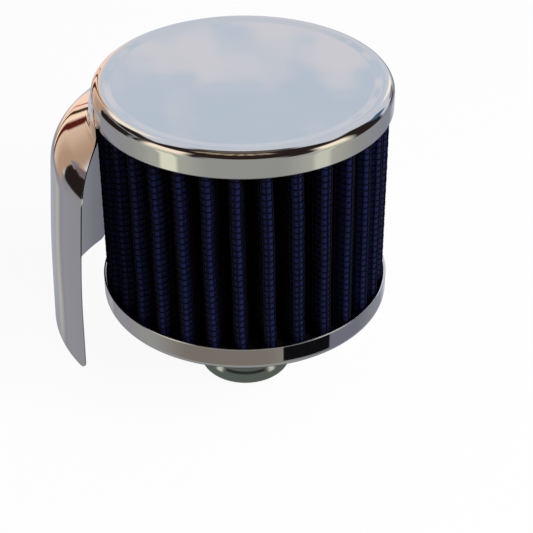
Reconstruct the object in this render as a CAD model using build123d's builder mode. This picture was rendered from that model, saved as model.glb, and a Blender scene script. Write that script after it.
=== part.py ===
from build123d import *
from math import acos, atan2, cos, degrees, hypot, pi, radians, sin, sqrt, tan
import os

# Crankcase breather filter, pushed into a valve cover by its neck.
# Millimetres. The origin is on the axis at the underside of the base cup, where the
# neck begins. +Z runs up to the top cap, and the shield stands on the -X side.

# Pressed caps
cap_diameter = 76.2
body_height = 63.5
cap_sheet = 0.8
cap_skirt = 6.8
cap_corner = 2.5
rim_width = 3.2
dish_depth = 0.3
dish_slope = 1.8
dish_bend = 3.0
base_skirt = 7.0
base_corner = 1.2

# Neck
neck_diameter = 25.4
neck_length = 25.4
neck_wall = 1.2
neck_roll = 2.5
neck_lip = 0.8
neck_fold = 0.4
neck_flange = 4.3
neck_flange_clearance = 0.5
neck_undercut = 0.25
punched_edge_relief = 0.1

# Side shield, given by how far it stands off the cap's skirt
shield_sheet = 0.8
shield_shoulder_width = 60.0
shield_bottom_width = 63.6
shield_bottom_standoff = 13.85
shield_waist_standoff = 13.1
shield_shoulder_standoff = 10.9
shield_bottom_drop = 4.0
shield_waist_rise = 24.0
shield_shoulder_drop = 8.1
shield_top_slope = 26.0
shield_waist_bend = 25.0
shield_shoulder_bend = 9.0
shield_neck_bend = 2.0
shield_lower_corner = 2.0
collar_lap = 1.0
collar_width = 29.2
trim_allowance = 1.0

# Pleated pack
pleat_count = 32
pleat_turn = -0.94
pack_clearance = 0.1
pack_depth = 13.2
wire_screen = 0.4
cloth = 0.6
inner_fold = 0.2
window_rows = 3
window_width = 1.8
window_bar = 2.0

# Seam clip, on the inner fold nearest the shield
seam_pleat_number = 16
clip_sheet = 0.4
clip_leg = 3.0

# Core and moulded end rings
core_gap = 0.6
core_wall = 0.5
core_hole = 4.0
core_hole_pairs = 6
core_rows = 7
core_plain_end = 5.0
seal_height = 2.6
seal_chamfer = 1.5

# Levels and radii that follow
cap_radius = cap_diameter / 2
cap_inside = cap_radius - cap_sheet
neck_radius = neck_diameter / 2
base_floor = cap_sheet
plate_underside = body_height - dish_depth - cap_sheet
cap_skirt_edge = body_height - cap_skirt
pack_bottom = base_floor + seal_height
pack_top = plate_underside - seal_height
pack_height = pack_top - pack_bottom
pack_radius = cap_inside - pack_clearance
pack_inside = pack_radius - pack_depth
outer_fold = inner_fold + wire_screen + cloth + wire_screen
core_radius = pack_inside - core_gap

# Pleat geometry: two fold centres, and the wall between them that both folds touch
pleat_pitch = 2 * pi / pleat_count
crest_centre = pack_radius - outer_fold
valley_centre = pack_inside + outer_fold
span_x = valley_centre * cos(pleat_pitch / 2) - crest_centre
span_y = valley_centre * sin(pleat_pitch / 2)
wall_normal = atan2(span_y, span_x) - acos((inner_fold + outer_fold) / hypot(span_x, span_y))


def polar(radius, angle):
    return Vector(radius * cos(angle), radius * sin(angle))


def pleat_loop(outset):
    """Draws one closed pleated line, outset from the pack's innermost surface."""
    crest_bend = inner_fold + outset
    valley_bend = outer_fold - outset
    for pleat in range(pleat_count):
        crest = radians(pleat_turn) + pleat * pleat_pitch
        valley = crest + pleat_pitch / 2
        next_crest = crest + pleat_pitch
        crest_start = polar(crest_centre, crest) + polar(crest_bend, crest - wall_normal)
        crest_top = polar(crest_centre + crest_bend, crest)
        crest_end = polar(crest_centre, crest) + polar(crest_bend, crest + wall_normal)
        valley_start = polar(valley_centre, valley) - polar(valley_bend, crest + wall_normal)
        valley_low = polar(valley_centre - valley_bend, valley)
        valley_end = polar(valley_centre, valley) - polar(valley_bend, next_crest - wall_normal)
        next_start = polar(crest_centre, next_crest) + polar(crest_bend, next_crest - wall_normal)
        ThreePointArc(crest_start, crest_top, crest_end)
        Line(crest_end, valley_start)
        ThreePointArc(valley_start, valley_low, valley_end)
        Line(valley_end, next_start)


# Top cap: dished plate, raised rim, rounded corner and skirt
with BuildPart() as top_cap:
    with BuildSketch(Plane.XZ):
        with BuildLine():
            FilletPolyline(
                (0, body_height - dish_depth),
                (cap_radius - rim_width - dish_slope, body_height - dish_depth),
                (cap_radius - rim_width, body_height),
                (cap_radius, body_height),
                (cap_radius, cap_skirt_edge),
                radius=[dish_bend, dish_bend, cap_corner],
            )
            offset(amount=cap_sheet, side=Side.RIGHT)
        make_face()
    revolve(axis=Axis.Z)

# Base cup: flat floor with the neck's punched hole, rounded corner and skirt
with BuildPart() as base_cup:
    with BuildSketch(Plane.XZ) as base_section:
        with BuildLine():
            FilletPolyline(
                (neck_radius, 0),
                (cap_radius, 0),
                (cap_radius, base_skirt),
                radius=[base_corner],
            )
            offset(amount=cap_sheet, side=Side.LEFT)
        make_face()
        punched_edge = base_section.vertices().group_by(Axis.X)[0].sort_by(Axis.Y)[-1]
        chamfer(punched_edge, length=neck_fold + punched_edge_relief)
    revolve(axis=Axis.Z)

# Neck: flange on the base cup's floor inside the core tube, tube through the hole with
# a shallow undercut in the sheet's thickness, end rolled inwards
flange_radius = min(neck_radius + neck_flange, core_radius - core_wall - neck_flange_clearance)
undercut_height = base_floor - neck_fold

with BuildPart() as neck_tube:
    with BuildSketch(Plane.XZ):
        with BuildLine():
            FilletPolyline(
                (flange_radius, base_floor),
                (neck_radius, base_floor),
                (neck_radius, -neck_length),
                (neck_radius - neck_roll - neck_lip, -neck_length),
                radius=[neck_fold, neck_roll],
            )
            offset(amount=neck_wall, side=Side.RIGHT)
        make_face()
        with Locations((neck_radius, 0)):
            undercut_place = (Align.CENTER, Align.MIN)
            Rectangle(2 * neck_undercut, undercut_height, align=undercut_place, mode=Mode.SUBTRACT)
    revolve(axis=Axis.Z)

# Shield: a turned section with a drawn shoulder, trimmed to an arched opening
collar_radius = cap_radius + shield_sheet
bottom_radius = cap_radius + shield_bottom_standoff
waist_radius = cap_radius + shield_waist_standoff
shoulder_radius = cap_radius + shield_shoulder_standoff
bottom_level = -shield_bottom_drop
waist_level = bottom_level + shield_waist_rise
shoulder_level = cap_skirt_edge - shield_shoulder_drop
shield_neck_level = shoulder_level + (shoulder_radius - collar_radius) * tan(radians(shield_top_slope))
collar_top = cap_skirt_edge + collar_lap
lower_lean = (bottom_radius - waist_radius) / shield_waist_rise
shoulder_half = shield_shoulder_width / 2
bottom_half = shield_bottom_width / 2
collar_half = collar_width / 2

# The blank is turned wider and lower than the shield, and trimmed to it from two sides
blank_half_angle = degrees(atan2(bottom_half, shoulder_radius - bottom_half))
blank_side = (-cos(radians(blank_half_angle)), sin(radians(blank_half_angle)), 0)
blank_normal = (sin(radians(blank_half_angle)), cos(radians(blank_half_angle)), 0)
edge_x = -sqrt(shoulder_radius**2 - shoulder_half**2)
collar_end_x = -sqrt(collar_radius**2 - collar_half**2)
arch_lean = (collar_end_x - edge_x) / (shoulder_half - collar_half)
arch_apex_x = edge_x + arch_lean * shoulder_half
arch_end_x = arch_apex_x - arch_lean * bottom_half
side_lean = (bottom_half - shoulder_half) / (shoulder_level - bottom_level)
top_half = bottom_half - side_lean * (body_height - bottom_level)

with BuildPart() as side_shield:
    with BuildSketch(Plane(origin=(0, 0, 0), x_dir=blank_side, z_dir=blank_normal)):
        with BuildLine():
            FilletPolyline(
                (bottom_radius + trim_allowance * lower_lean, bottom_level - trim_allowance),
                (waist_radius, waist_level),
                (shoulder_radius, shoulder_level),
                (collar_radius, shield_neck_level),
                (collar_radius, collar_top),
                radius=[shield_waist_bend, shield_shoulder_bend, shield_neck_bend],
            )
            offset(amount=shield_sheet, side=Side.LEFT)
        make_face()
    revolve(axis=Axis.Z, revolution_arc=2 * blank_half_angle)
    # Seen from above: the arch's edges run in a straight line past the collar's ends
    with BuildSketch(Plane.XY.offset(bottom_level - trim_allowance)):
        with BuildLine():
            Polyline(
                (-2 * bottom_radius, -bottom_half),
                (arch_end_x, -bottom_half),
                (arch_apex_x, 0),
                (arch_end_x, bottom_half),
                (-2 * bottom_radius, bottom_half),
                close=True,
            )
        make_face()
    extrude(amount=body_height + shield_bottom_drop + trim_allowance, mode=Mode.INTERSECT)
    # Seen from the side it hangs on: edges that spread downwards, level lower edge
    with BuildSketch(Plane.YZ) as side_outline:
        with BuildLine():
            Polyline(
                (-bottom_half, bottom_level),
                (bottom_half, bottom_level),
                (top_half, body_height),
                (-top_half, body_height),
                close=True,
            )
        make_face()
        fillet(side_outline.vertices().group_by(Axis.Y)[0], radius=shield_lower_corner)
    extrude(amount=-2 * bottom_radius, mode=Mode.INTERSECT)

# Pleated pack: wire screen, cloth and wire screen folded together. The outer screen
# has open windows along each crest, between the two skirts.
window_height = (cap_skirt_edge - base_skirt - (window_rows + 1) * window_bar) / window_rows
window_step = window_height + window_bar
first_window = base_skirt + window_bar + window_height / 2
window_levels = [first_window + row * window_step for row in range(window_rows)]

with BuildPart() as outer_screen:
    with BuildSketch(Plane.XY.offset(pack_bottom)):
        with BuildLine():
            pleat_loop(wire_screen + cloth + wire_screen)
        make_face()
        with BuildLine():
            pleat_loop(wire_screen + cloth)
        make_face(mode=Mode.SUBTRACT)
    extrude(amount=pack_height)
    with Locations([(0, 0, level) for level in window_levels]):
        with PolarLocations(pack_radius, pleat_count, start_angle=pleat_turn):
            Box(2 * outer_fold, window_width, window_height, mode=Mode.SUBTRACT)

with BuildPart() as filter_media:
    with BuildSketch(Plane.XY.offset(pack_bottom)):
        with BuildLine():
            pleat_loop(wire_screen + cloth)
        make_face()
        with BuildLine():
            pleat_loop(wire_screen)
        make_face(mode=Mode.SUBTRACT)
    extrude(amount=pack_height)

with BuildPart() as inner_screen:
    with BuildSketch(Plane.XY.offset(pack_bottom)):
        with BuildLine():
            pleat_loop(wire_screen)
        make_face()
        with BuildLine():
            pleat_loop(0)
        make_face(mode=Mode.SUBTRACT)
    extrude(amount=pack_height)

# Seam clip: a strip folded over the inner fold where the pack's two ends meet
seam_crest = radians(pleat_turn) + seam_pleat_number * pleat_pitch
seam_valley = seam_crest + pleat_pitch / 2
first_wall = seam_crest + wall_normal
second_wall = seam_crest + pleat_pitch - wall_normal
fold_middle = polar(valley_centre, seam_valley)
fold_first = fold_middle - polar(outer_fold, first_wall)
fold_second = fold_middle - polar(outer_fold, second_wall)

with BuildPart() as seam_clip:
    with BuildSketch(Plane.XY.offset(pack_bottom)):
        with BuildLine():
            Line(fold_first + polar(clip_leg, first_wall - pi / 2), fold_first)
            ThreePointArc(fold_first, polar(valley_centre - outer_fold, seam_valley), fold_second)
            Line(fold_second, fold_second + polar(clip_leg, second_wall + pi / 2))
            offset(amount=clip_sheet, side=Side.LEFT)
        make_face()
    extrude(amount=pack_height)

# Core tube: perforated tube from the base cup's floor to the top cap's plate
core_height = plate_underside - base_floor
core_row_step = (core_height - 2 * core_plain_end - core_hole) / (core_rows - 1)
first_core_row = base_floor + core_plain_end + core_hole / 2
core_row_levels = [first_core_row + row * core_row_step for row in range(core_rows)]

with BuildPart() as core_tube:
    with BuildSketch(Plane.XY.offset(base_floor)):
        Circle(core_radius)
        Circle(core_radius - core_wall, mode=Mode.SUBTRACT)
    extrude(amount=core_height)
    with Locations([(0, 0, level) for level in core_row_levels]):
        with PolarLocations(0, core_hole_pairs, angular_range=180, endpoint=False):
            Cylinder(core_hole / 2, 3 * core_radius, rotation=(0, 90, 0), mode=Mode.SUBTRACT)

# End rings: moulded rings that hold the pleats' ends inside the two caps
with BuildPart() as top_seal:
    with BuildSketch(Plane.XY.offset(pack_top)):
        Circle(cap_inside)
        Circle(core_radius, mode=Mode.SUBTRACT)
    extrude(amount=seal_height)
    upper_edges = top_seal.edges().group_by(Axis.Z)[-1]
    chamfer(upper_edges.sort_by(SortBy.RADIUS)[-1], length=seal_chamfer)

with BuildPart() as base_seal:
    with BuildSketch(Plane.XY.offset(base_floor)):
        Circle(cap_inside)
        Circle(core_radius, mode=Mode.SUBTRACT)
    extrude(amount=seal_height)
    lower_edges = base_seal.edges().group_by(Axis.Z)[0]
    chamfer(lower_edges.sort_by(SortBy.RADIUS)[-1], length=seal_chamfer)

pieces = {
    "top_cap": top_cap,
    "side_shield": side_shield,
    "base_cup": base_cup,
    "neck_tube": neck_tube,
    "outer_screen": outer_screen,
    "filter_media": filter_media,
    "inner_screen": inner_screen,
    "seam_clip": seam_clip,
    "core_tube": core_tube,
    "top_seal": top_seal,
    "base_seal": base_seal,
}

os.makedirs("parts", exist_ok=True)
for name, piece in pieces.items():
    piece.part.label = name
    export_step(piece.part, f"parts/{name}.step")
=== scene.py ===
from math import acos, asin, atan2, cos, hypot, pi, radians, sin, sqrt, tan

import bmesh
import bpy
from mathutils import Matrix, Vector


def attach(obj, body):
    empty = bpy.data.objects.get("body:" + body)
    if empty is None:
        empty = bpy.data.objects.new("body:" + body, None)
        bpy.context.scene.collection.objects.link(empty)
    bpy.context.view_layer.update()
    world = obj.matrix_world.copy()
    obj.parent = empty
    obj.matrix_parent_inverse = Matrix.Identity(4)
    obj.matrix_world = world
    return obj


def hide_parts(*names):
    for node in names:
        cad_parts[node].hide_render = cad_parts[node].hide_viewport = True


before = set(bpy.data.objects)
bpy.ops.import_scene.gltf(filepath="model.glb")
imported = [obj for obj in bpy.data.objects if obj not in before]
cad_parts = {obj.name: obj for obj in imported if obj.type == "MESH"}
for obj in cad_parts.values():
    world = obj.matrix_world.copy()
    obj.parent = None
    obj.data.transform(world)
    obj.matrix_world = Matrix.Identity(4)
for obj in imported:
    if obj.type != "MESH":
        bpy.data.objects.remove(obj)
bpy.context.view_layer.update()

# Sizes in metres, as in the source of the solids
CAP_RADIUS = 0.0381
BODY_HEIGHT = 0.0635
SHEET = 0.0008
CAP_SKIRT = 0.0068
CAP_CORNER = 0.0025
RIM_WIDTH = 0.0032
DISH_DEPTH = 0.0003
DISH_SLOPE = 0.0018
DISH_BEND = 0.003
BASE_SKIRT = 0.007
NECK_RADIUS = 0.0127
NECK_LENGTH = 0.0254
NECK_WALL = 0.0012
NECK_ROLL = 0.0025
NECK_LIP = 0.0008
NECK_FOLD = 0.0004
NECK_FLANGE = 0.0043
PACK_BOTTOM = 0.0034
PACK_TOP = 0.0598
SKIRT_EDGE = BODY_HEIGHT - CAP_SKIRT
FLOOR_LEVEL = -NECK_LENGTH

# The base's corner is rounder here than in the solids, as the photograph shows it
BASE_CORNER = 0.0024

# Pleats: folds about two centres, as in the solids
PLEATS = 32
PLEAT_TURN = radians(-0.94)
PITCH = 2 * pi / PLEATS
CREST_CENTRE = 0.0356
VALLEY_CENTRE = 0.0256
INNER_FOLD = 0.0002
OUTER_FOLD = 0.0016
SPAN_X = VALLEY_CENTRE * cos(PITCH / 2) - CREST_CENTRE
SPAN_Y = VALLEY_CENTRE * sin(PITCH / 2)
WALL_NORMAL = atan2(SPAN_Y, SPAN_X) - acos((INNER_FOLD + OUTER_FOLD) / hypot(SPAN_X, SPAN_Y))

# Steps of the turned pieces, and the angle at which their shading breaks
TURN_STEPS = 288
SMOOTH_ANGLE = radians(35)
# Points this close beside an arc or an edge keep the flat faces next to it flat
SUPPORT = 0.00008
# Rounding of a sheet's cut edges
EDGE_ROUND = 0.00022
EDGE_STEPS = 4
# A section point nearer to the axis than this lies on it
ON_AXIS = 1e-7
# Distance at which the cloth's threads repeat
THREAD_STEP = 0.0005


# Materials
class Graph:
    """Adds shader or geometry nodes to one tree and links them."""

    def __init__(self, tree):
        self.tree = tree

    def add(self, kind, settings=None, **values):
        node = self.tree.nodes.new(kind)
        for key, value in (settings or {}).items():
            setattr(node, key, value)
        for key, value in values.items():
            self.put(node, key.replace("_", " "), value)
        return node

    def put(self, node, key, value):
        socket = node.inputs[key]
        if isinstance(value, bpy.types.NodeSocket):
            self.tree.links.new(value, socket)
        else:
            socket.default_value = value

    def math(self, operation, *values):
        node = self.tree.nodes.new("ShaderNodeMath")
        node.operation = operation
        for index, value in enumerate(values):
            self.put(node, index, value)
        return node.outputs[0]

    def vector(self, operation, *values):
        node = self.tree.nodes.new("ShaderNodeVectorMath")
        node.operation = operation
        for index, value in enumerate(values):
            self.put(node, index, value)
        return node

    def mix(self, factor, first, second):
        node = self.tree.nodes.new("ShaderNodeMix")
        node.data_type = "RGBA"
        self.put(node, 0, factor)
        self.put(node, 6, first)
        self.put(node, 7, second)
        return node.outputs[2]

    def remap(self, value, low, high, to_low, to_high, smooth=True):
        node = self.tree.nodes.new("ShaderNodeMapRange")
        node.interpolation_type = "SMOOTHSTEP" if smooth else "LINEAR"
        for index, entry in enumerate((value, low, high, to_low, to_high)):
            self.put(node, index, entry)
        return node.outputs[0]

    def place(self):
        return self.add("ShaderNodeTexCoord").outputs["Object"]

    def noise(self, place, scale, detail, **values):
        return self.add("ShaderNodeTexNoise", Vector=place, Scale=scale, Detail=detail, **values)

    def product(self, *values):
        result = values[0]
        for value in values[1:]:
            result = self.math("MULTIPLY", result, value)
        return result

    def away(self, value, middle):
        """How far a value lies from a middle one, on either side."""
        return self.math("ABSOLUTE", self.math("SUBTRACT", value, middle))


def empty_material(name):
    material = bpy.data.materials.new(name)
    material.use_nodes = True
    material.node_tree.nodes.clear()
    return material, Graph(material.node_tree)


def new_material(name):
    material, graph = empty_material(name)
    shader = graph.add("ShaderNodeBsdfPrincipled")
    output = graph.add("ShaderNodeOutputMaterial")
    graph.tree.links.new(shader.outputs[0], output.inputs[0])
    return material, graph, shader


def chrome_plate():
    """Bright plate: mirror smooth, with polishing haze, fine scuffs and a slight waviness."""
    material, graph, shader = new_material("chrome_plate")
    place = graph.place()
    graph.put(shader, "Metallic", 1.0)
    haze = graph.noise(place, 55.0, 3.0)
    tone = graph.mix(haze.outputs[0], (0.63, 0.635, 0.64, 1), (0.67, 0.672, 0.675, 1))
    graph.put(shader, "Base Color", tone)
    scuff = graph.noise(place, 900.0, 4.0, Roughness=0.7)
    patch = graph.remap(scuff.outputs[0], 0.58, 0.75, 0.0, 0.05)
    base = graph.remap(haze.outputs[0], 0.3, 0.7, 0.035, 0.06)
    graph.put(shader, "Roughness", graph.math("ADD", base, patch))
    wave = graph.noise(place, 70.0, 1.0)
    bump = graph.add("ShaderNodeBump", Strength=0.06, Distance=0.0006, Height=wave.outputs[0])
    drawn = graph.add("ShaderNodeMapping", Vector=place, Scale=(90.0, 90.0, 5000.0))
    lines = graph.noise(drawn.outputs[0], 1.0, 2.0)
    fine = graph.add("ShaderNodeBump", Strength=0.05, Distance=0.00003, Height=lines.outputs[0])
    graph.put(fine, "Normal", bump.outputs[0])
    graph.put(shader, "Normal", fine.outputs[0])
    return material


def screen_wire():
    """Dark epoxy coat on the woven wire, a little thicker and duller in places."""
    material, graph, shader = new_material("screen_wire")
    coat = graph.noise(graph.place(), 700.0, 2.0)
    tone = graph.mix(coat.outputs[0], (0.001, 0.001, 0.003, 1), (0.004, 0.004, 0.012, 1))
    graph.put(shader, "Base Color", tone)
    graph.put(shader, "Roughness", graph.remap(coat.outputs[0], 0.3, 0.7, 0.45, 0.65))
    graph.put(shader, "Specular IOR Level", 0.15)
    return material


def filter_cloth():
    """Oiled cotton gauze: crossing threads, uneven dye, and painted shade that darkens the folds
    towards the valleys.
    """
    material, graph, shader = new_material("filter_cloth")
    thread = graph.add("ShaderNodeUVMap", {"uv_map": "cloth"}).outputs[0]
    place = graph.place()
    split = graph.add("ShaderNodeSeparateXYZ", Vector=thread)
    weft, warp = (
        graph.math("SINE", graph.product(split.outputs[index], 2 * pi / THREAD_STEP))
        for index in (0, 1)
    )
    weave = graph.remap(graph.product(weft, warp), -1.0, 1.0, 0.0, 1.0)
    dye = graph.noise(place, 260.0, 4.0)
    dyed = graph.mix(dye.outputs[0], (0.0055, 0.0075, 0.04, 1), (0.011, 0.016, 0.082, 1))
    tone = graph.mix(graph.product(weave, 0.5), dyed, (0.0025, 0.003, 0.018, 1))
    # Painted shade: darker inward from the crests, where the folds shade each other
    flat_place = graph.vector("MULTIPLY", place, (1.0, 1.0, 0.0)).outputs[0]
    radius = graph.vector("LENGTH", flat_place).outputs["Value"]
    painted_fold_shade = graph.remap(radius, 0.0325, 0.0363, 1.0, 0.0)
    tone = graph.mix(graph.product(painted_fold_shade, 0.93), tone, (0.0015, 0.0015, 0.008, 1))
    graph.put(shader, "Base Color", tone)
    graph.put(shader, "Roughness", graph.remap(dye.outputs[0], 0.3, 0.7, 0.7, 0.9))
    graph.put(shader, "Specular IOR Level", 0.12)
    bump = graph.add("ShaderNodeBump", Strength=0.5, Distance=0.0001, Height=weave)
    graph.put(shader, "Normal", bump.outputs[0])
    return material


def core_steel():
    """Plain sheet with rolling lines along its length and dull zinc patches."""
    material, graph, shader = new_material("core_steel")
    place = graph.place()
    graph.put(shader, "Metallic", 1.0)
    drawn = graph.add("ShaderNodeMapping", Vector=place, Scale=(3000.0, 3000.0, 60.0))
    lines = graph.noise(drawn.outputs[0], 1.0, 3.0)
    zinc = graph.add("ShaderNodeTexVoronoi", Vector=place, Scale=350.0)
    tone = graph.mix(zinc.outputs["Distance"], (0.36, 0.37, 0.38, 1), (0.5, 0.5, 0.49, 1))
    graph.put(shader, "Base Color", tone)
    graph.put(shader, "Roughness", graph.remap(lines.outputs[0], 0.3, 0.7, 0.28, 0.5))
    bump = graph.add("ShaderNodeBump", Strength=0.2, Distance=0.00005, Height=lines.outputs[0])
    graph.put(shader, "Normal", bump.outputs[0])
    return material


def seal_rubber():
    """Moulded rubber: satin black, with a fine grain and a little bloom."""
    material, graph, shader = new_material("seal_rubber")
    place = graph.place()
    grain = graph.noise(place, 1800.0, 3.0)
    bloom = graph.noise(place, 90.0, 3.0)
    tone = graph.mix(bloom.outputs[0], (0.006, 0.006, 0.007, 1), (0.015, 0.015, 0.016, 1))
    graph.put(shader, "Base Color", tone)
    graph.put(shader, "Roughness", graph.remap(bloom.outputs[0], 0.3, 0.7, 0.5, 0.75))
    graph.put(shader, "Specular IOR Level", 0.2)
    bump = graph.add("ShaderNodeBump", Strength=0.25, Distance=0.00005, Height=grain.outputs[0])
    graph.put(shader, "Normal", bump.outputs[0])
    return material


CHROME = chrome_plate()
WIRE = screen_wire()
CLOTH = filter_cloth()
STEEL = core_steel()
RUBBER = seal_rubber()


# Pieces
def keep(piece, material, slot, *nodes):
    """Dresses a finished piece, sets it under the root, and hides the solids that it stands for.
    """
    piece.data.materials.clear()
    piece.data.materials.append(material)
    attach(piece, "root")
    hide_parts(*nodes)
    return piece


def new_piece(name, mesh):
    piece = bpy.data.objects.new(name, mesh)
    bpy.context.scene.collection.objects.link(piece)
    return piece


def formed_piece(name, form):
    """Turns a finished form into a piece, with its normals outward."""
    bmesh.ops.recalc_face_normals(form, faces=form.faces)
    mesh = bpy.data.meshes.new(name)
    form.to_mesh(mesh)
    form.free()
    return new_piece(name, mesh)


def pressed_piece(name, form):
    """A formed piece with smooth shading that breaks at its edges."""
    piece = formed_piece(name, form)
    piece.data.shade_smooth()
    piece.data.set_sharp_from_angle(angle=SMOOTH_ANGLE)
    return piece


def rounded_path(points, radii, steps=20):
    """A section line with tangent arcs at its corners; the two ends stay sharp."""
    line = [Vector(points[0])]
    for before, corner, after, radius in zip(points, points[1:], points[2:], radii):
        corner = Vector(corner)
        back = (Vector(before) - corner).normalized()
        ahead = (Vector(after) - corner).normalized()
        half_angle = acos(max(-1.0, min(1.0, back.dot(ahead)))) / 2
        reach = radius / tan(half_angle)
        centre = corner + (back + ahead).normalized() * (radius / sin(half_angle))
        first = corner + back * reach - centre
        last = corner + ahead * reach - centre
        sweep = acos(max(-1.0, min(1.0, first.normalized().dot(last.normalized()))))
        line.append(centre + first + back * SUPPORT)
        for step in range(steps + 1):
            share = step / steps
            arm = first * sin((1 - share) * sweep) + last * sin(share * sweep)
            line.append(centre + arm / sin(sweep))
        line.append(centre + last + ahead * SUPPORT)
    line.append(Vector(points[-1]))
    return line


def sheet_section(line, thickness, side, round_start=True):
    """Closes a section line into a sheet's section with rounded ends. Side +1 is left."""
    inner = []
    for index, point in enumerate(line):
        before = line[max(index - 1, 0)]
        after = line[min(index + 1, len(line) - 1)]
        run = (after - before).normalized()
        normal = Vector((-run.y, run.x)) * side
        stretch = 1.0
        if 0 < index < len(line) - 1:
            first = (point - before).normalized()
            second = (after - point).normalized()
            stretch = 1 / max(0.5, sqrt((1 + first.dot(second)) / 2))
        inner.append(point + normal * thickness * stretch)

    def rounded_end(tip, other, run):
        across = (other - tip).normalized()
        turn = []
        for step in range(EDGE_STEPS + 1):
            angle = pi / 2 * step / EDGE_STEPS
            offset = across * EDGE_ROUND * (1 - cos(angle)) + run * EDGE_ROUND * sin(angle)
            turn.append(tip - run * EDGE_ROUND + offset)
        return turn

    def closed_end(start, stop, run):
        """From one face to the other round an end, with a support point on each."""
        stay = run * (EDGE_ROUND + SUPPORT)
        there = rounded_end(start, stop, run)
        back = rounded_end(stop, start, run)
        return [start - stay] + there + back[::-1] + [stop - stay]

    outer = list(line)
    end_run = (outer[-1] - outer[-2]).normalized()
    ring = outer[:-1] + closed_end(outer[-1], inner[-1], end_run)
    if round_start:
        start_run = (outer[0] - outer[1]).normalized()
        return ring[1:] + inner[-2:0:-1] + closed_end(inner[0], outer[0], start_run)
    return ring + inner[-2::-1]


def turned(name, section, closed):
    """Turns a section about the axis. A section point on the axis becomes one vertex."""
    form = bmesh.new()
    rings = []
    for radius, level in section:
        if radius < ON_AXIS:
            rings.append([form.verts.new((0, 0, level))])
            continue
        ring = []
        for step in range(TURN_STEPS):
            angle = 2 * pi * step / TURN_STEPS
            ring.append(form.verts.new((radius * cos(angle), radius * sin(angle), level)))
        rings.append(ring)
    pairs = list(zip(rings, rings[1:]))
    if closed:
        pairs.append((rings[-1], rings[0]))
    for low, high in pairs:
        for step in range(TURN_STEPS):
            after = (step + 1) % TURN_STEPS
            if len(low) == 1 and len(high) == 1:
                break
            if len(low) == 1:
                form.faces.new((low[0], high[after], high[step]))
            elif len(high) == 1:
                form.faces.new((low[step], low[after], high[0]))
            else:
                form.faces.new((low[step], low[after], high[after], high[step]))
    return pressed_piece(name, form)


# Top cap: mirror plate set a little below its rim, rounded corner, skirt
plate_level = BODY_HEIGHT - DISH_DEPTH
cap_line = rounded_path(
    [
        (0, plate_level),
        (CAP_RADIUS - RIM_WIDTH - DISH_SLOPE, plate_level),
        (CAP_RADIUS - RIM_WIDTH, BODY_HEIGHT),
        (CAP_RADIUS, BODY_HEIGHT),
        (CAP_RADIUS, SKIRT_EDGE),
    ],
    [DISH_BEND, DISH_BEND, CAP_CORNER],
)
cap_section = sheet_section(cap_line, SHEET, -1, round_start=False)
keep(turned("pressed_cap", cap_section, False), CHROME, "chrome_plate", "top_cap")

# Base cup
base_line = rounded_path(
    [(NECK_RADIUS, 0), (CAP_RADIUS, 0), (CAP_RADIUS, BASE_SKIRT)],
    [BASE_CORNER],
)
base_section = sheet_section(base_line, SHEET, 1)
keep(turned("pressed_base", base_section, True), CHROME, "chrome_plate", "base_cup")

# Neck: a flange on the base's floor, a straight tube and a rolled-in lower end
neck_line = rounded_path(
    [
        (NECK_RADIUS + NECK_FLANGE, SHEET),
        (NECK_RADIUS, SHEET),
        (NECK_RADIUS, -NECK_LENGTH),
        (NECK_RADIUS - NECK_ROLL - NECK_LIP, -NECK_LENGTH),
    ],
    [NECK_FOLD, NECK_ROLL],
)
neck_section = sheet_section(neck_line, NECK_WALL, -1)
keep(turned("drawn_neck", neck_section, True), CHROME, "chrome_plate", "neck_tube")


# Shield: the turned section over a grid whose sides follow the trimmed outline
SHOULDER_HALF = 0.03
BOTTOM_HALF = 0.0318
COLLAR_HALF = 0.0146
COLLAR_RADIUS = CAP_RADIUS + SHEET
COLLAR_TOP = SKIRT_EDGE + 0.001
SHOULDER_RADIUS = CAP_RADIUS + 0.0109
SHOULDER_LEVEL = SKIRT_EDGE - 0.0081
WAIST_RADIUS = CAP_RADIUS + 0.0131
SHIELD_BOTTOM = -0.004
WAIST_LEVEL = SHIELD_BOTTOM + 0.024
# A hair less than the solid's, so that the faces stay inside its box
BOTTOM_RADIUS = CAP_RADIUS + 0.01383
TOP_SLOPE = radians(26)
WAIST_BEND = 0.4
SHOULDER_BEND = 0.009
COLLAR_BEND = 0.002
LOWER_CORNER = 0.002
CORNER_ROWS = 9
ROW_HEIGHT = 0.0012
SHIELD_COLUMNS = 96
HALVINGS = 40
# Share of the sheet's thickness that its sheared sides keep
SHEARED = 0.45
EDGE_BREAK = 0.00014
EDGE_BREAK_ANGLE = radians(50)
EDGE_X = -sqrt(SHOULDER_RADIUS**2 - SHOULDER_HALF**2)
COLLAR_X = -sqrt(COLLAR_RADIUS**2 - COLLAR_HALF**2)
ARCH_LEAN = (COLLAR_X - EDGE_X) / (SHOULDER_HALF - COLLAR_HALF)
SIDE_LEAN = (BOTTOM_HALF - SHOULDER_HALF) / (SHOULDER_LEVEL - SHIELD_BOTTOM)


def shield_half_angle(radius, level):
    """Half of the arc that the shield keeps at a radius and a level."""
    rise = max(level - SHIELD_BOTTOM, 0.0)
    half = BOTTOM_HALF - SIDE_LEAN * rise
    if rise < LOWER_CORNER:
        half += sqrt(max(LOWER_CORNER**2 - (LOWER_CORNER - rise) ** 2, 0.0)) - LOWER_CORNER
    side = asin(min(half / radius, 1.0))
    # The arch's edge, seen from above, is a straight line past the collar's end
    low, high = 0.0, pi / 2
    for _ in range(HALVINGS):
        middle = (low + high) / 2
        if -radius * cos(middle) < EDGE_X + (SHOULDER_HALF - radius * sin(middle)) * ARCH_LEAN:
            low = middle
        else:
            high = middle
    return min(side, low)


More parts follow.
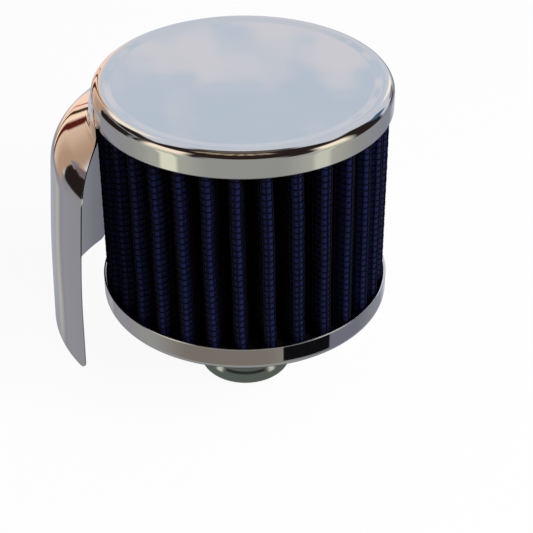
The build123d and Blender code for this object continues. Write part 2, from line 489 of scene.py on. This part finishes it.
def shield_line():
    """The outer face's section, with rows close together at the rounded lower corners."""
    neck_level = SHOULDER_LEVEL + (SHOULDER_RADIUS - COLLAR_RADIUS) * tan(TOP_SLOPE)
    line = rounded_path(
        [
            (BOTTOM_RADIUS, SHIELD_BOTTOM),
            (WAIST_RADIUS, WAIST_LEVEL),
            (SHOULDER_RADIUS, SHOULDER_LEVEL),
            (COLLAR_RADIUS, neck_level),
            (COLLAR_RADIUS, COLLAR_TOP),
        ],
        [WAIST_BEND, SHOULDER_BEND, COLLAR_BEND],
        steps=26,
    )
    dense = []
    for first, second in zip(line, line[1:]):
        parts = max(1, int((second - first).length / ROW_HEIGHT))
        for part in range(parts):
            dense.append(first.lerp(second, part / parts))
    dense.append(line[-1])
    bottom = dense[0]
    slope = (dense[1] - dense[0]).normalized()
    corner_rows = []
    for step in range(1, CORNER_ROWS):
        rise = LOWER_CORNER * (1 - cos(pi / 2 * step / CORNER_ROWS))
        corner_rows.append(bottom + slope * rise)
    upper = [point for point in dense[1:] if point.y > SHIELD_BOTTOM + LOWER_CORNER]
    return [bottom] + corner_rows + upper


def border(grid):
    """A grid's border points, once round."""
    one_side = [row[-1] for row in grid[1:]]
    other_side = [row[0] for row in grid[-2:0:-1]]
    return grid[0] + one_side + grid[-1][-2::-1] + other_side


def build_shield():
    dense = shield_line()
    normals = []
    for index in range(len(dense)):
        run = (dense[min(index + 1, len(dense) - 1)] - dense[max(index - 1, 0)]).normalized()
        normals.append(Vector((-run.y, run.x)))
    form = bmesh.new()
    sides = []
    for depth in (0.0, SHEET):
        grid = []
        for point, normal in zip(dense, normals):
            half = shield_half_angle(point.x, point.y)
            row = []
            for column in range(SHIELD_COLUMNS + 1):
                angle = half * (2 * column / SHIELD_COLUMNS - 1)
                # The sheared sides are thinned towards the outer face
                trimmed = column in (0, SHIELD_COLUMNS)
                spot = point + normal * depth * (SHEARED if trimmed else 1)
                row.append(form.verts.new((-spot.x * cos(angle), -spot.x * sin(angle), spot.y)))
            grid.append(row)
        sides.append(grid)
    for grid in sides:
        for low, high in zip(grid, grid[1:]):
            for column in range(SHIELD_COLUMNS):
                after = column + 1
                form.faces.new((low[column], low[after], high[after], high[column]))
    rim, back = border(sides[0]), border(sides[1])
    for index in range(len(rim)):
        after = (index + 1) % len(rim)
        form.faces.new((rim[index], rim[after], back[after], back[index]))
    return pressed_piece("splash_shield", form)


shield = build_shield()
edge_break = shield.modifiers.new("edge_break", "BEVEL")
edge_break.width = EDGE_BREAK
edge_break.segments = 2
edge_break.limit_method = "ANGLE"
edge_break.angle_limit = EDGE_BREAK_ANGLE
edge_break.harden_normals = True
keep(shield, CHROME, "chrome_plate", "side_shield")


# The pleated pack, with distances out from the inner screen's inner face
CLOTH_OUTSET = 0.001
CLOTH_INSET = 0.0004
CLOTH_LEVELS = 24
BACKING_OUTSET = 0.00036
BACKING_INSET = 0.0
BACKING_LEVELS = 12
# Steps along a fold's crest, wall and valley: for the sheets and for the wires
SHEET_STEPS = (7, 6, 4)
WIRE_STEPS = (16, 8, 8)


def half_pleat(outset, crest_steps, wall_steps, valley_steps):
    """From a crest's top to the next valley: points and outward directions."""
    spots = []
    crest_bend = INNER_FOLD + outset
    valley_bend = OUTER_FOLD - outset
    valley = Vector((VALLEY_CENTRE * cos(PITCH / 2), VALLEY_CENTRE * sin(PITCH / 2)))
    for step in range(crest_steps + 1):
        angle = WALL_NORMAL * step / crest_steps
        facing = Vector((cos(angle), sin(angle)))
        spots.append((Vector((CREST_CENTRE, 0)) + facing * crest_bend, facing))
    facing = Vector((cos(WALL_NORMAL), sin(WALL_NORMAL)))
    start, stop = spots[-1][0], valley - facing * valley_bend
    for step in range(1, wall_steps):
        spots.append((start.lerp(stop, step / wall_steps), facing))
    for step in range(valley_steps + 1):
        angle = WALL_NORMAL + (PITCH / 2 - WALL_NORMAL) * step / valley_steps
        facing = Vector((cos(angle), sin(angle)))
        spots.append((valley - facing * valley_bend, facing))
    return spots


def whole_pleat(spots):
    """Adds the mirror half, up to but without the next crest's top."""
    axis = Vector((cos(PITCH / 2), sin(PITCH / 2)))
    mirrored = []
    for point, facing in reversed(spots[1:-1]):
        mirrored.append(
            (axis * 2 * point.dot(axis) - point, axis * 2 * facing.dot(axis) - facing)
        )
    return spots + mirrored


def along(spots, distances):
    """Points and directions at distances along a run of spots."""
    lengths = [0.0]
    for (first, _), (second, _) in zip(spots, spots[1:]):
        lengths.append(lengths[-1] + (second - first).length)
    found = []
    for distance in distances:
        wanted = distance * lengths[-1]
        index = 0
        while index < len(lengths) - 2 and lengths[index + 1] < wanted:
            index += 1
        share = (wanted - lengths[index]) / (lengths[index + 1] - lengths[index])
        (point, facing), (next_point, next_facing) = spots[index], spots[index + 1]
        out = facing.lerp(next_facing, share).normalized()
        found.append((point.lerp(next_point, share), out))
    return found


def turn(vector, angle):
    x = vector.x * cos(angle) - vector.y * sin(angle)
    y = vector.x * sin(angle) + vector.y * cos(angle)
    return Vector((x, y))


def tree_inputs(tree, wanted):
    """Named inputs on a geometry tree; returns their identifiers by name."""
    names = {}
    tree.interface.new_socket("Geometry", in_out="OUTPUT", socket_type="NodeSocketGeometry")
    tree.interface.new_socket("Geometry", in_out="INPUT", socket_type="NodeSocketGeometry")
    for name, kind in wanted:
        socket = tree.interface.new_socket(name, in_out="INPUT", socket_type="NodeSocket" + kind)
        names[name] = socket.identifier
    return names


# Unevenness of the pleats, as a turn about the axis. Bearings count from the front to
# the right: in degrees for the drifts, in radians where the lean fades in and out.
SWAY = 0.018
SWAY_SCALE = 85.0
DRIFTS = ((-85, -50, -1.2), (-2, 50, 3.4), (100, 178, -2.2))
FRONT_LEFT = (-pi / 2, -0.9)
FRONT_RIGHT = (1.8, 3.0)
LEAN = 0.5
LEAN_LEVEL = 0.0316


def sway_group():
    """Turns the pack about its axis: a little unevenly everywhere, and in front also
    wider spaced and leaning, as hand-set pleats stand."""
    tree = bpy.data.node_groups.new("pleat_sway", "GeometryNodeTree")
    tree_inputs(tree, [("Sway", "Float")])
    graph = Graph(tree)
    given = graph.add("NodeGroupInput")
    place = graph.add("GeometryNodeInputPosition").outputs[0]
    x, y, z = graph.add("ShaderNodeSeparateXYZ", Vector=place).outputs
    side = graph.math("ARCTAN2", x, graph.product(y, -1.0))
    drift = 0.0
    for low, high, amount in DRIFTS:
        rise = graph.remap(side, radians(low), radians(high), 0.0, radians(amount))
        drift = graph.math("ADD", drift, rise)
    left = graph.remap(side, *FRONT_LEFT, 0.0, 1.0)
    right = graph.remap(side, *FRONT_RIGHT, 0.0, 1.0)
    front = graph.math("SUBTRACT", left, right)
    lean = graph.product(graph.math("SUBTRACT", LEAN_LEVEL, z), LEAN, front)
    noise = graph.noise(place, SWAY_SCALE, 0.0)
    level = graph.math("SUBTRACT", noise.outputs[0], 0.5)
    uneven = graph.product(level, given.outputs["Sway"])
    angle = graph.math("ADD", uneven, graph.math("ADD", drift, lean))
    spun = graph.add(
        "ShaderNodeVectorRotate", {"rotation_type": "Z_AXIS"}, Vector=place, Angle=angle
    )
    moved = graph.add(
        "GeometryNodeSetPosition",
        Geometry=given.outputs["Geometry"],
        Position=spun.outputs[0],
    )
    graph.add("NodeGroupOutput", Geometry=moved.outputs[0])
    return tree


SWAY_GROUP = sway_group()


def finish_tree(graph, geometry, given):
    """Sway, realize and material, as each tree of the pack ends."""
    sway = graph.add(
        "GeometryNodeGroup",
        {"node_tree": SWAY_GROUP},
        Geometry=geometry,
        Sway=given.outputs["Sway"],
    )
    smooth = graph.add("GeometryNodeSetShadeSmooth", Geometry=sway.outputs[0])
    real = graph.add("GeometryNodeRealizeInstances", Geometry=smooth.outputs[0])
    dressed = graph.add(
        "GeometryNodeSetMaterial",
        Geometry=real.outputs[0],
        Material=given.outputs["Material"],
    )
    graph.add("NodeGroupOutput", Geometry=dressed.outputs[0])


def settle(piece, tree, names, values):
    """Runs a tree on a piece, and keeps the result as the piece's plain mesh."""
    modifier = piece.modifiers.new("pattern", "NODES")
    modifier.node_group = tree
    for name, value in values.items():
        modifier[names[name]] = value
    bpy.context.view_layer.update()
    depsgraph = bpy.context.evaluated_depsgraph_get()
    mesh = bpy.data.meshes.new_from_object(piece.evaluated_get(depsgraph), depsgraph=depsgraph)
    piece.modifiers.remove(modifier)
    rough = piece.data
    piece.data = mesh
    bpy.data.meshes.remove(rough)
    mesh.name = piece.name
    return piece


def folded_sheet(name, outset, inset, levels, material):
    """A folded sheet: two faces with closed ends, and a map along its threads."""
    outer = whole_pleat(half_pleat(outset, *SHEET_STEPS))
    inner = whole_pleat(half_pleat(inset, *SHEET_STEPS))
    count = len(outer)
    form = bmesh.new()
    layer = form.loops.layers.uv.new("cloth")
    grids = []
    for face_spots in (outer, inner):
        grid = []
        for row in range(levels + 1):
            level = PACK_BOTTOM + (PACK_TOP - PACK_BOTTOM) * row / levels
            ring = []
            for pleat in range(PLEATS):
                for point, _ in face_spots:
                    spot = turn(point, PLEAT_TURN + pleat * PITCH)
                    ring.append(form.verts.new((spot.x, spot.y, level)))
            grid.append(ring)
        grids.append(grid)
    steps = [0.0]
    flat = [point for point, _ in outer] + [turn(outer[0][0], PITCH)]
    for first, second in zip(flat, flat[1:]):
        steps.append(steps[-1] + (second - first).length)
    around = count * PLEATS
    for grid in grids:
        for low, high in zip(grid, grid[1:]):
            for index in range(around):
                after = (index + 1) % around
                face = form.faces.new((low[index], low[after], high[after], high[index]))
                pleat, spot = divmod(index, count)
                start = pleat * steps[-1] + steps[spot]
                stop = pleat * steps[-1] + steps[spot + 1]
                for loop, u in zip(face.loops, (start, stop, stop, start)):
                    loop[layer].uv = (u, loop.vert.co.z)
    for row in (0, levels):
        front, back = grids[0][row], grids[1][row]
        for index in range(around):
            after = (index + 1) % around
            form.faces.new((front[index], front[after], back[after], back[index]))
    piece = formed_piece(name, form)
    tree = bpy.data.node_groups.new(name, "GeometryNodeTree")
    names = tree_inputs(tree, [("Sway", "Float"), ("Material", "Material")])
    graph = Graph(tree)
    given = graph.add("NodeGroupInput")
    finish_tree(graph, given.outputs["Geometry"], given)
    return settle(piece, tree, names, {"Sway": SWAY, "Material": material})


def path_object(name, spots_per_pleat, lifts):
    """A closed line round the whole pack, with its outward directions and crimp."""
    points, facings, crimps = [], [], []
    for pleat in range(PLEATS):
        for (point, facing), lift in zip(spots_per_pleat, lifts):
            spot = turn(point, PLEAT_TURN + pleat * PITCH)
            out = turn(facing, PLEAT_TURN + pleat * PITCH)
            points.append((spot.x, spot.y, 0.0))
            facings.append((out.x, out.y, 0.0))
            crimps.append(lift)
    count = len(points)
    mesh = bpy.data.meshes.new(name)
    mesh.from_pydata(points, [(index, (index + 1) % count) for index in range(count)], [])
    outward = mesh.attributes.new("outward", "FLOAT_VECTOR", "POINT")
    outward.data.foreach_set("vector", [value for facing in facings for value in facing])
    lift = mesh.attributes.new("lift", "FLOAT", "POINT")
    lift.data.foreach_set("value", crimps)
    return new_piece(name, mesh), count


# The woven wire of the outer screen
ROWS = 32
ROW_STEP = 0.00175
FIRST_ROW = 0.0042
WIRE_RADIUS = 0.00022
WIRE_OUTSET = 0.0012
CRIMP = 0.00005
WIRES_PER_PLEAT = 16
WIRE_INPUTS = (
    ("Rows", "Int"),
    ("Row Step", "Float"),
    ("First Row", "Float"),
    ("Wires", "Int"),
    ("Wire Radius", "Float"),
    ("Crimp", "Float"),
    ("Sway", "Float"),
    ("Material", "Material"),
)


def wire_tree(name, upright):
    """One direction of the woven wire: rings that follow the pleats, or upright wires."""
    tree = bpy.data.node_groups.new(name, "GeometryNodeTree")
    names = tree_inputs(tree, WIRE_INPUTS)
    graph = Graph(tree)
    given = graph.add("NodeGroupInput")
    rows = given.outputs["Rows"]
    start = graph.add("ShaderNodeCombineXYZ", Z=given.outputs["First Row"])
    step = graph.add("ShaderNodeCombineXYZ", Z=given.outputs["Row Step"])
    line = graph.add("GeometryNodeMeshLine", {"mode": "OFFSET"}, Count=rows)
    graph.put(line, "Start Location", start.outputs[0])
    graph.put(line, "Offset", step.outputs[0])
    path = given.outputs["Geometry"]
    points, instance = (path, line.outputs[0]) if upright else (line.outputs[0], path)
    placed = graph.add("GeometryNodeInstanceOnPoints", Points=points, Instance=instance)
    real = graph.add("GeometryNodeRealizeInstances", Geometry=placed.outputs[0])
    # The crimp shifts each crossing outwards or inwards, by turns from row to row
    index = graph.add("GeometryNodeInputIndex").outputs[0]
    group_size = rows if upright else given.outputs["Wires"]
    number = graph.math("FLOOR", graph.math("DIVIDE", graph.math("ADD", index, 0.5), group_size))
    within = graph.math("SUBTRACT", index, graph.product(number, group_size))
    row = within if upright else number
    side = graph.math("SUBTRACT", 1.0, graph.product(graph.math("MODULO", row, 2.0), 2.0))
    lift, outward = (
        graph.add("GeometryNodeInputNamedAttribute", {"data_type": kind}, Name=attribute)
        for attribute, kind in (("lift", "FLOAT"), ("outward", "FLOAT_VECTOR"))
    )
    amount = graph.product(lift.outputs[0], side, given.outputs["Crimp"])
    if upright:
        amount = graph.product(amount, -1.0)
    shift = graph.vector("SCALE", outward.outputs[0])
    graph.put(shift, "Scale", amount)
    moved = graph.add("GeometryNodeSetPosition", Geometry=real.outputs[0], Offset=shift.outputs[0])
    strand = graph.add("GeometryNodeMeshToCurve", Mesh=moved.outputs[0])
    ring = graph.add("GeometryNodeCurvePrimitiveCircle", Resolution=3)
    graph.put(ring, "Radius", given.outputs["Wire Radius"])
    swept = graph.add("GeometryNodeCurveToMesh", Curve=strand.outputs[0])
    graph.put(swept, "Profile Curve", ring.outputs[0])
    graph.put(swept, "Fill Caps", upright)
    finish_tree(graph, swept.outputs[0], given)
    return tree, names


def woven_screen():
    """Weft and warp of the outer screen, which lies on the cloth."""
    half = half_pleat(WIRE_OUTSET, *WIRE_STEPS)
    cells = WIRES_PER_PLEAT // 2
    # The rings get more points round the crest, between its first two crossings
    weft_steps = [0, 0.25, 0.5, 0.75, 1, 1.5, *range(2, cells + 1)]
    weft_spots = whole_pleat(along(half, [step / cells for step in weft_steps]))
    half_lifts = [0.0 if step % 1 else (-1.0) ** int(step) for step in weft_steps]
    weft_lifts = half_lifts + half_lifts[-2:0:-1]
    warp_spots = whole_pleat(along(half, [step / cells for step in range(cells + 1)]))
    warp_lifts = [(-1.0) ** step for step in range(len(warp_spots))]
    made = []
    for name, upright, spots, lifts in (
        ("screen_rings", False, weft_spots, weft_lifts),
        ("screen_uprights", True, warp_spots, warp_lifts),
    ):
        piece, count = path_object(name, spots, lifts)
        tree, names = wire_tree(name, upright)
        values = {
            "Rows": ROWS,
            "Row Step": ROW_STEP,
            "First Row": FIRST_ROW,
            "Wires": count,
            "Wire Radius": WIRE_RADIUS,
            "Crimp": CRIMP,
            "Sway": SWAY,
            "Material": WIRE,
        }
        made.append(settle(piece, tree, names, values))
    return made


cloth = folded_sheet("pleated_cloth", CLOTH_OUTSET, CLOTH_INSET, CLOTH_LEVELS, CLOTH)
keep(cloth, CLOTH, "filter_cloth", "filter_media")
backing = folded_sheet("backing_screen", BACKING_OUTSET, BACKING_INSET, BACKING_LEVELS, WIRE)
keep(backing, WIRE, "screen_wire", "inner_screen")
for strands in woven_screen():
    keep(strands, WIRE, "screen_wire", "outer_screen")

for node, material in (
    ("seam_clip", STEEL),
    ("core_tube", STEEL),
    ("top_seal", RUBBER),
    ("base_seal", RUBBER),
):
    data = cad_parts[node].data
    for index in range(len(data.materials)):
        data.materials[index] = material
    if not data.materials:
        data.materials.append(material)


# Surroundings that only the chrome mirrors
DOME_RADIUS = 1.6
UNSEEN_BY = ("camera", "diffuse", "shadow", "transmission", "volume_scatter")


def paint(piece, material, graph, tone):
    """Gives a piece a plain tone that only mirrors see."""
    emit = graph.add("ShaderNodeEmission", Color=tone, Strength=1.0)
    output = graph.add("ShaderNodeOutputMaterial")
    graph.tree.links.new(emit.outputs[0], output.inputs[0])
    piece.data.materials.append(material)
    for flag in UNSEEN_BY:
        setattr(piece, "visible_" + flag, False)


# A patch has a colour and two ranges in degrees, each a middle, a half width and a
# softness: the bearing, 0 at the back and 90 at the right, then the rise.
# The bench: paler at both sides, and darker near the foot with a painted shadow of the part
BENCH_PATCHES = (
    ((0.53, 0.53, 0.46), (-123, 22, 14), (-22, 12, 1)),
    ((1.0, 0.99, 0.76), (-123, 7, 2), (-22, 12, 1)),
    ((0.53, 0.53, 0.46), (119, 22, 14), (-22, 12, 1)),
    ((0.80, 0.80, 0.66), (119, 7, 3), (-22, 12, 1)),
    ((0.56, 0.56, 0.64), (15, 14, 8), (-30, 12, 4)),
    # The next two: painted shadow of the part on the bench about its foot
    ((0.27, 0.235, 0.20), (-165, 50, 22), (-46, 12.5, 1)),
    ((0.22, 0.225, 0.28), (95, 34, 18), (-46, 12.5, 1)),
    ((0.44, 0.45, 0.52), (-26, 9, 4), (-27, 8, 3)),
    ((0.56, 0.53, 0.49), (-40, 4.5, 4), (-27, 9, 2)),
    ((0.38, 0.37, 0.40), (-62, 13, 4), (-25, 12, 3)),
)
DARK = (0.03, 0.02, 0.018)
# The dim room in front, overhead and at the sides, then the bench's edge in front, two
# lamps and the pale strips below them
ROOM_PATCHES = (
    (DARK, (180, 86, 5), (54, 52, 4)),
    (DARK, (180, 180, 0.1), (90, 18, 4)),
    ((0.15, 0.13, 0.115), (180, 180, 0.1), (90, 14, 5)),
    (DARK, (-76, 20, 3), (42, 10, 2)),
    (DARK, (-78, 16, 3), (13, 16, 3)),
    (DARK, (80, 16, 3), (20, 30, 3)),
    ((0.41, 0.405, 0.38), (180, 28, 8), (0, 17, 2)),
    ((1.4, 1.15, 0.88), (-122, 17, 6), (22, 14, 4)),
    ((1.4, 1.2, 0.9), (112, 14, 6), (20, 13, 4)),
    ((0.75, 0.76, 0.62), (-123, 18, 6), (1, 7, 2)),
    ((0.75, 0.76, 0.62), (114, 16, 6), (1, 7, 2)),
)
# Spots about the warm wall, then the pale wall at the right with a dark edge below it
LAST_PATCHES = (
    ((0.25, 0.19, 0.20), (-58, 6, 2), (32, 6, 2)),
    ((1.35, 1.15, 0.85), (-38, 14, 4), (46, 9, 2)),
    ((0.60, 0.66, 0.78), (-11, 8, 2), (-14, 13, 3)),
    ((1.4, 1.3, 1.02), (29, 4.5, 3), (22, 10, 4)),
    ((0.28, 0.24, 0.28), (39, 6, 2), (9, 6, 2)),
    ((0.085, 0.026, 0.018), (43, 7, 2), (-3, 5, 2)),
)
# Clouds that the cap's plate mirrors: two ranges as above, and how much paler they are
CLOUDS = (
    ((2.6, 3.2, 1.8), (27.7, 1.9, 1.3), 0.17),
    ((-4.2, 2.2, 1.8), (28.6, 1.3, 1.3), 0.12),
    ((-1.4, 1.5, 1.8), (29.6, 1.8, 1.3), -0.12),
    ((-3.0, 2.8, 1.8), (31.2, 1.2, 1.3), -0.12),
    ((3.4, 3.0, 1.8), (30.8, 1.4, 1.3), -0.12),
)
# Upright bands of the warm wall: colour, middle, half width, softness
WALL_BANDS = (
    ((0.55, 0.06, 0.04), (25.2, 0.35, 0.2)),
    ((0.05, 0.025, 0.01), (28.6, 0.9, 0.25)),
    ((1.35, 1.0, 0.72), (31.0, 1.2, 0.5)),
    ((0.13, 0.013, 0.011), (35.0, 1.9, 0.6)),
)


def surroundings():
    """A dome with window light, a sky, a dim room, a warm wall and a grey bench."""
    form = bmesh.new()
    bmesh.ops.create_uvsphere(form, u_segments=48, v_segments=24, radius=DOME_RADIUS)
    bmesh.ops.reverse_faces(form, faces=form.faces)
    mesh = bpy.data.meshes.new("mirror_dome")
    form.to_mesh(mesh)
    form.free()
    dome = new_piece("mirror_dome", mesh)
    material, graph = empty_material("mirror_dome")
    way = graph.vector("NORMALIZE", graph.place()).outputs[0]
    x, y, z = graph.add("ShaderNodeSeparateXYZ", Vector=way).outputs
    rise = graph.product(graph.math("ARCSINE", z), 180 / pi)
    bearing = graph.product(graph.math("ARCTAN2", x, y), 180 / pi)

    def spread(value, middle, half, soft):
        """1 about a middle angle, 0 beyond, with a soft edge."""
        turned_by = graph.math("WRAP", graph.math("SUBTRACT", value, middle), 180.0, -180.0)
        return graph.remap(graph.math("ABSOLUTE", turned_by), half - soft, half + soft, 1.0, 0.0)

    def window(around, upwards):
        return graph.product(spread(bearing, *around), spread(rise, *upwards))

    def patched(tone, patches):
        for colour, around, upwards in patches:
            tone = graph.mix(window(around, upwards), tone, (*colour, 1))
        return tone

    stretched = graph.vector("MULTIPLY", way, (1.0, 1.0, 1.6)).outputs[0]
    cloud = graph.noise(stretched, 17.0, 2.0)
    seen_part = window((0, 12, 4), (29, 10, 3))
    drifts = graph.product(graph.math("SUBTRACT", cloud.outputs[0], 0.52), seen_part)
    for around, upwards, amount in CLOUDS:
        drifts = graph.math("ADD", drifts, graph.product(window(around, upwards), amount))
    sky = graph.mix(
        graph.remap(drifts, -0.09, 0.09, 0.0, 1.0),
        (0.69, 0.78, 0.90, 1),
        (0.88, 0.87, 0.92, 1),
    )
    # The bench is bluer towards the back and neutral in front
    to_front = graph.remap(graph.math("ABSOLUTE", bearing), 40.0, 100.0, 0.0, 1.0)
    bench = graph.mix(to_front, (0.31, 0.32, 0.37, 1), (0.41, 0.405, 0.38, 1))
    bench = patched(bench, BENCH_PATCHES)
    tone = graph.mix(graph.remap(rise, -3.0, 3.0, 0.0, 1.0), bench, sky)
    tone = patched(tone, ROOM_PATCHES)
    # A dashed streak of lamps overhead, and a teal spot at the right
    dashes = graph.add(
        "ShaderNodeTexNoise", {"noise_dimensions": "1D"}, W=bearing, Scale=0.16, Detail=1.0
    )
    dashed = graph.remap(dashes.outputs[0], 0.40, 0.56, 0.35, 1.0)
    streak = graph.product(window((-170, 43, 3), (64, 8, 2)), dashed)
    tone = graph.mix(streak, tone, (0.55, 0.41, 0.24, 1))
    tone = patched(tone, [((0.06, 0.15, 0.27), (62, 7.5, 2), (23, 9, 2))])
    # The warm wall at the left, with upright bands that lean a little
    lean = graph.math("SUBTRACT", graph.product(rise, 0.3), bearing)
    inward = graph.remap(lean, 36.0, 52.0, 0.0, 1.0)
    wall = graph.mix(inward, (0.98, 0.69, 0.50, 1), (0.62, 0.40, 0.27, 1))
    wall = graph.mix(graph.remap(lean, 27.0, 28.2, 1.0, 0.0), wall, (1.28, 0.90, 0.67, 1))
    for colour, across in WALL_BANDS:
        wall = graph.mix(spread(lean, *across), wall, (*colour, 1))
    tone = graph.mix(window((-35, 23, 2), (12, 24, 2.5)), tone, wall)
    # Darkness past the wall's end, and a blotch on it
    past_end = graph.remap(lean, 59.5, 61.5, 0.0, 1.0)
    beyond = graph.product(past_end, spread(bearing, -64, 21, 2), spread(rise, 14, 16, 3))
    tone = graph.mix(beyond, tone, (0.025, 0.016, 0.015, 1))
    blotch = graph.product(spread(lean, 60.5, 4.0, 0.6), spread(rise, 27, 4.5, 1))
    tone = graph.mix(blotch, tone, (0.33, 0.29, 0.31, 1))
    tone = patched(tone, LAST_PATCHES)
    paint(dome, material, graph, tone)


surroundings()


def mirror_card(name, corners, level, toned):
    """A flat card near the floor, toned by toned(graph, place)."""
    mesh = bpy.data.meshes.new(name)
    mesh.from_pydata([(x, y, level) for x, y in corners], [], [tuple(range(len(corners)))])
    card = new_piece(name, mesh)
    material, graph = empty_material(name)
    paint(card, material, graph, toned(graph, graph.place()))


def near_black(graph, place):
    mottle = graph.noise(place, 150.0, 2.0)
    return graph.mix(mottle.outputs[0], (0.005, 0.005, 0.006, 1), (0.009, 0.009, 0.011, 1))


def ring(graph, radius, middle, half):
    """1 on a ring about the axis, 0 off it, with soft edges."""
    return graph.remap(graph.away(radius, middle), half * 0.6, half * 1.4, 1.0, 0.0)


def shaded_foot(graph, place):
    """Painted shade under the part: grey-green, a dark arc in front of the neck, and a painted
    highlight at each side.
    """
    x, y, _ = graph.add("ShaderNodeSeparateXYZ", Vector=place).outputs
    radius = graph.math("SQRT", graph.math("ADD", graph.product(x, x), graph.product(y, y)))
    side = graph.math("ABSOLUTE", graph.product(graph.math("ARCTAN2", x, y), 180 / pi))
    outside = graph.remap(radius, 0.0195, 0.0205, 0.0, 1.0)
    tone = graph.mix(outside, (0.13, 0.15, 0.13, 1), (0.115, 0.125, 0.12, 1))
    in_front = graph.remap(side, 143.0, 151.0, 0.0, 1.0)
    in_arc = graph.product(in_front, ring(graph, radius, 0.0185, 0.0007))
    tone = graph.mix(in_arc, tone, (0.035, 0.035, 0.035, 1))
    # Painted highlight: a pale spot at each side, which the neck's rolled end mirrors
    painted_highlight_side = graph.remap(graph.away(side, 135.0), 1.0, 10.0, 1.0, 0.0)
    spot = graph.product(painted_highlight_side, ring(graph, radius, 0.0179, 0.0012))
    return graph.mix(spot, tone, (0.75, 0.75, 0.62, 1))


# Both cards lie just above the floor
CARD_LIFT = 0.0001
SHADE_RADIUS = 0.03
SHADE_STEPS = 48
shade_angles = [2 * pi * step / SHADE_STEPS for step in range(SHADE_STEPS)]
mirror_card(
    "dark_card",
    [(0.0269, -0.0651), (0.0408, -0.088), (0.079, -0.0487), (0.0534, -0.0408)],
    FLOOR_LEVEL + CARD_LIFT,
    near_black,
)
mirror_card(
    "foot_shade",
    [(SHADE_RADIUS * cos(angle), SHADE_RADIUS * sin(angle)) for angle in shade_angles],
    FLOOR_LEVEL + 2 * CARD_LIFT,
    shaded_foot,
)

# Studio: a white sweep, a soft fill from all sides and one soft box
FLOOR_HALF = 4.0
FLOOR_WHITENESS = 0.93
FILL = 0.28
BOX_POWER = 17.0
BOX_SPOT = (0.76, -0.62, 0.72)
BOX_AIM = (0, 0, 0.03)
WHITE = (1.0, 1.0, 1.0, 1.0)


def floor():
    """A plain white sweep under the neck's end, with a soft shadow."""
    half = FLOOR_HALF
    mesh = bpy.data.meshes.new("sweep")
    corners = [(-half, -half), (half, -half), (half, half), (-half, half)]
    mesh.from_pydata([(x, y, FLOOR_LEVEL) for x, y in corners], [], [(0, 1, 2, 3)])
    sweep = new_piece("sweep", mesh)
    material, graph, shader = new_material("sweep_paper")
    grain = graph.noise(graph.place(), 300.0, 2.0)
    tone = graph.mix(grain.outputs[0], (0.955, 0.955, 0.955, 1), (0.975, 0.975, 0.975, 1))
    graph.put(shader, "Base Color", tone)
    graph.put(shader, "Roughness", 0.9)
    graph.put(shader, "Specular IOR Level", 0.1)
    seen = graph.add("ShaderNodeLightPath").outputs["Is Camera Ray"]
    white = graph.add("ShaderNodeEmission", Color=WHITE, Strength=1.0)
    blend = graph.add("ShaderNodeMixShader")
    graph.put(blend, 0, graph.product(seen, FLOOR_WHITENESS))
    graph.tree.links.new(shader.outputs[0], blend.inputs[1])
    graph.tree.links.new(white.outputs[0], blend.inputs[2])
    output = [node for node in graph.tree.nodes if node.type == "OUTPUT_MATERIAL"][0]
    graph.tree.links.new(blend.outputs[0], output.inputs[0])
    mesh.materials.append(material)
    sweep.visible_glossy = False


floor()

# World: white to the camera, a soft fill for the part
world = bpy.data.worlds.new("studio")
bpy.context.scene.world = world
world.use_nodes = True
background = world.node_tree.nodes["Background"]
background.inputs["Color"].default_value = WHITE
world_graph = Graph(world.node_tree)
to_camera = world_graph.add("ShaderNodeLightPath").outputs["Is Camera Ray"]
strength = world_graph.remap(to_camera, 0.0, 1.0, FILL, 1.0, smooth=False)
world_graph.put(background, "Strength", strength)

soft_box = bpy.data.lights.new("soft_box", "AREA")
soft_box.shape = "RECTANGLE"
soft_box.size, soft_box.size_y = 0.9, 0.6
soft_box.energy = BOX_POWER
lamp = bpy.data.objects.new("soft_box", soft_box)
bpy.context.scene.collection.objects.link(lamp)
lamp.location = BOX_SPOT
lamp.rotation_mode = "QUATERNION"
lamp_way = Vector(BOX_AIM) - Vector(lamp.location)
lamp.rotation_quaternion = lamp_way.to_track_quat("-Z", "Y")
lamp.visible_glossy = False

# Camera, fitted to the photograph
CAMERA_SPOT = (0.00339, -0.33465, 0.23592)
LENS = 100.92
tilt, swing, roll = radians(34.474), radians(0.427), radians(-0.047)
right = Vector((cos(swing), -sin(swing), 0))
ahead = Vector((sin(swing) * cos(tilt), cos(swing) * cos(tilt), -sin(tilt)))
up = right.cross(ahead)
camera_right = right * cos(roll) + up * sin(roll)
camera_up = up * cos(roll) - right * sin(roll)
camera_data = bpy.data.cameras.new("camera")
camera_data.lens = LENS
camera_data.sensor_width = 36.0
camera_data.clip_start = 0.01
camera_data.clip_end = 20.0
camera = bpy.data.objects.new("camera", camera_data)
bpy.context.scene.collection.objects.link(camera)
turned_frame = Matrix((camera_right, camera_up, -ahead)).transposed().to_4x4()
camera.matrix_world = Matrix.Translation(CAMERA_SPOT) @ turned_frame
bpy.context.scene.camera = camera
bpy.context.scene.view_settings.view_transform = "Standard"
